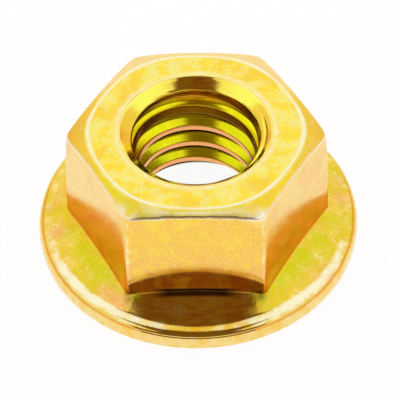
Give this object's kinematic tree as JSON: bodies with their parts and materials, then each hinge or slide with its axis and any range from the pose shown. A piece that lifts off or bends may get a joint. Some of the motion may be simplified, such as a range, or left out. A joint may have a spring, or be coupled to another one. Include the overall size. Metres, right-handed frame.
{
  "type": "serrated flange nut",
  "caption": "One-piece hexagon nut on a sloping round flange, with a right-hand internal thread and ratchet teeth under the flange that bite against loosening.",
  "frame": {"origin": "on the thread axis, in the plane of the lands that the nut stands on", "axes": "+Z along the thread axis, from the flange towards the hexagon's top face; +X through a corner of the hexagon; +Y square to a flat"},
  "size_m": [0.014, 0.014, 0.006],
  "materials": {
    "zinc_plating": "yellow passivated zinc plating on steel, semi-bright, pale where the edges are worn"
  },
  "bodies": {
    "root": {"flange_nut": "zinc_plating"}
  },
  "joints": []
}
